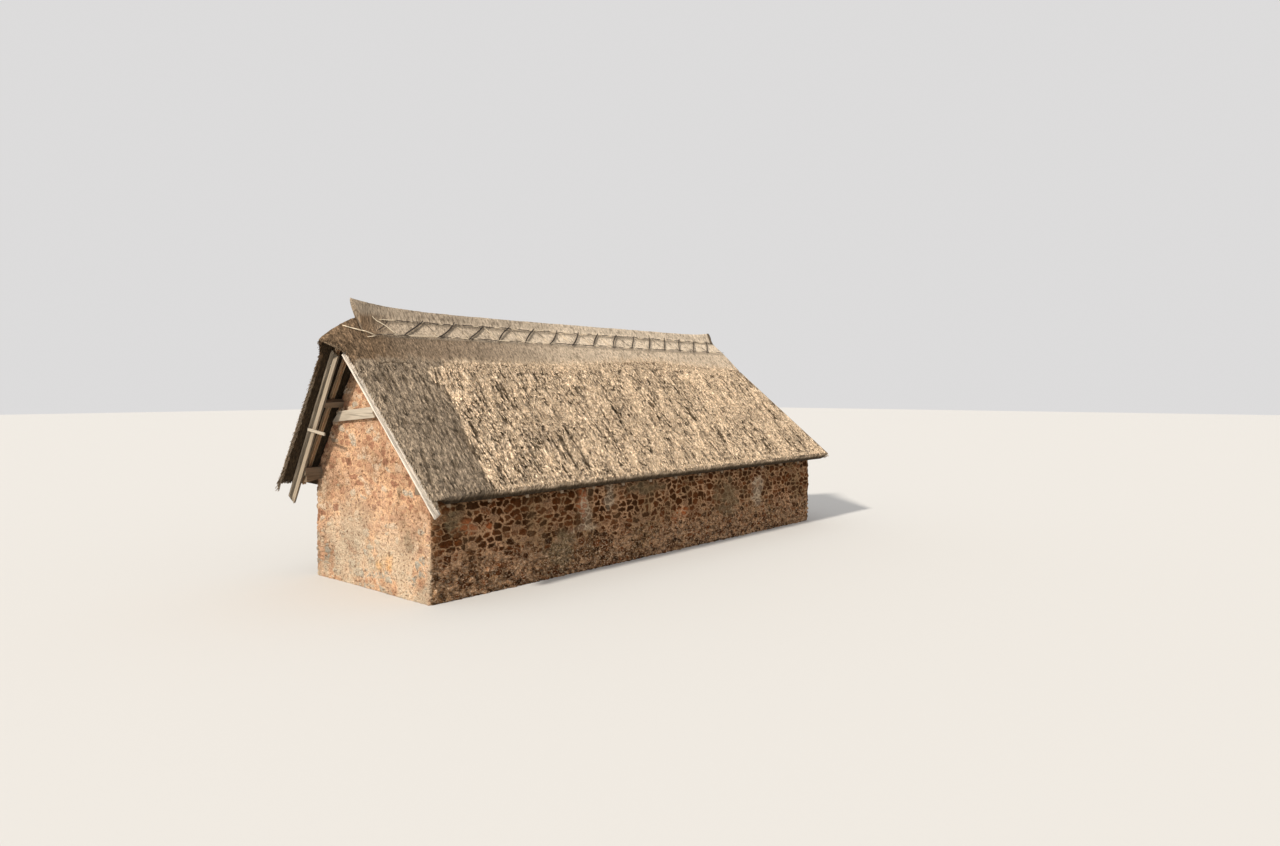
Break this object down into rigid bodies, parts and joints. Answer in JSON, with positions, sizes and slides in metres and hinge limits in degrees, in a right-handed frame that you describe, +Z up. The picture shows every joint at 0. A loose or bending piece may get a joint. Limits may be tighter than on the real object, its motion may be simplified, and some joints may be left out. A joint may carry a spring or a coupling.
{
  "type": "thatched stone barn",
  "caption": "Long low rubble-stone barn under a thatched roof, with an open-eaved gable and hood at one end, a hip at the other and a doorway in the rear wall.",
  "frame": {"origin": "on the ground under the middle of the part's box", "axes": "+X along the ridge towards the hipped end, -Y towards the front long wall, +Z up"},
  "size_m": [14.9347, 4.89, 5.74],
  "materials": {
    "rubble_red": "rough",
    "rubble_pink": "rough",
    "weathered_thatch": "rough",
    "golden_thatch": "rough",
    "brown_oak": "rough",
    "grey_oak": "weathered",
    "hazel": "rough"
  },
  "bodies": {
    "root": {"gable_wall": "rubble_pink", "front_wall": "rubble_red", "end_wall": "rubble_red", "rear_wall_left": "rubble_red", "rear_wall_right": "rubble_red", "rear_wall_over_door": "rubble_red", "door_lintel": "brown_oak", "front_wall_plate": "brown_oak", "rear_wall_plate": "brown_oak", "end_wall_plate": "brown_oak", "ridge_beam": "brown_oak", "front_purlin": "brown_oak", "rear_purlin": "brown_oak", "front_rafters": "brown_oak", "rear_rafters": "brown_oak", "hip_rafters": "brown_oak", "front_verge_board": "grey_oak", "rear_verge_board": "grey_oak", "front_verge_rafter": "brown_oak", "rear_verge_rafter": "brown_oak", "rear_wall_rafter": "brown_oak", "gable_collar": "grey_oak", "verge_batten": "grey_oak", "wall_timber_stub": "brown_oak", "broken_rafter_foot": "brown_oak", "thatch_front_slope": "golden_thatch", "thatch_rear_slope": "weathered_thatch", "thatch_hip_end": "weathered_thatch", "ridge_cap": "weathered_thatch", "front_ridge_rods": "hazel", "rear_ridge_rods": "hazel", "truss_1_front_principal": "brown_oak", "truss_1_rear_principal": "brown_oak", "truss_1_collar": "brown_oak", "truss_2_front_principal": "brown_oak", "truss_2_rear_principal": "brown_oak", "truss_2_collar": "brown_oak", "truss_3_front_principal": "brown_oak", "truss_3_rear_principal": "brown_oak", "truss_3_collar": "brown_oak"}
  },
  "joints": []
}
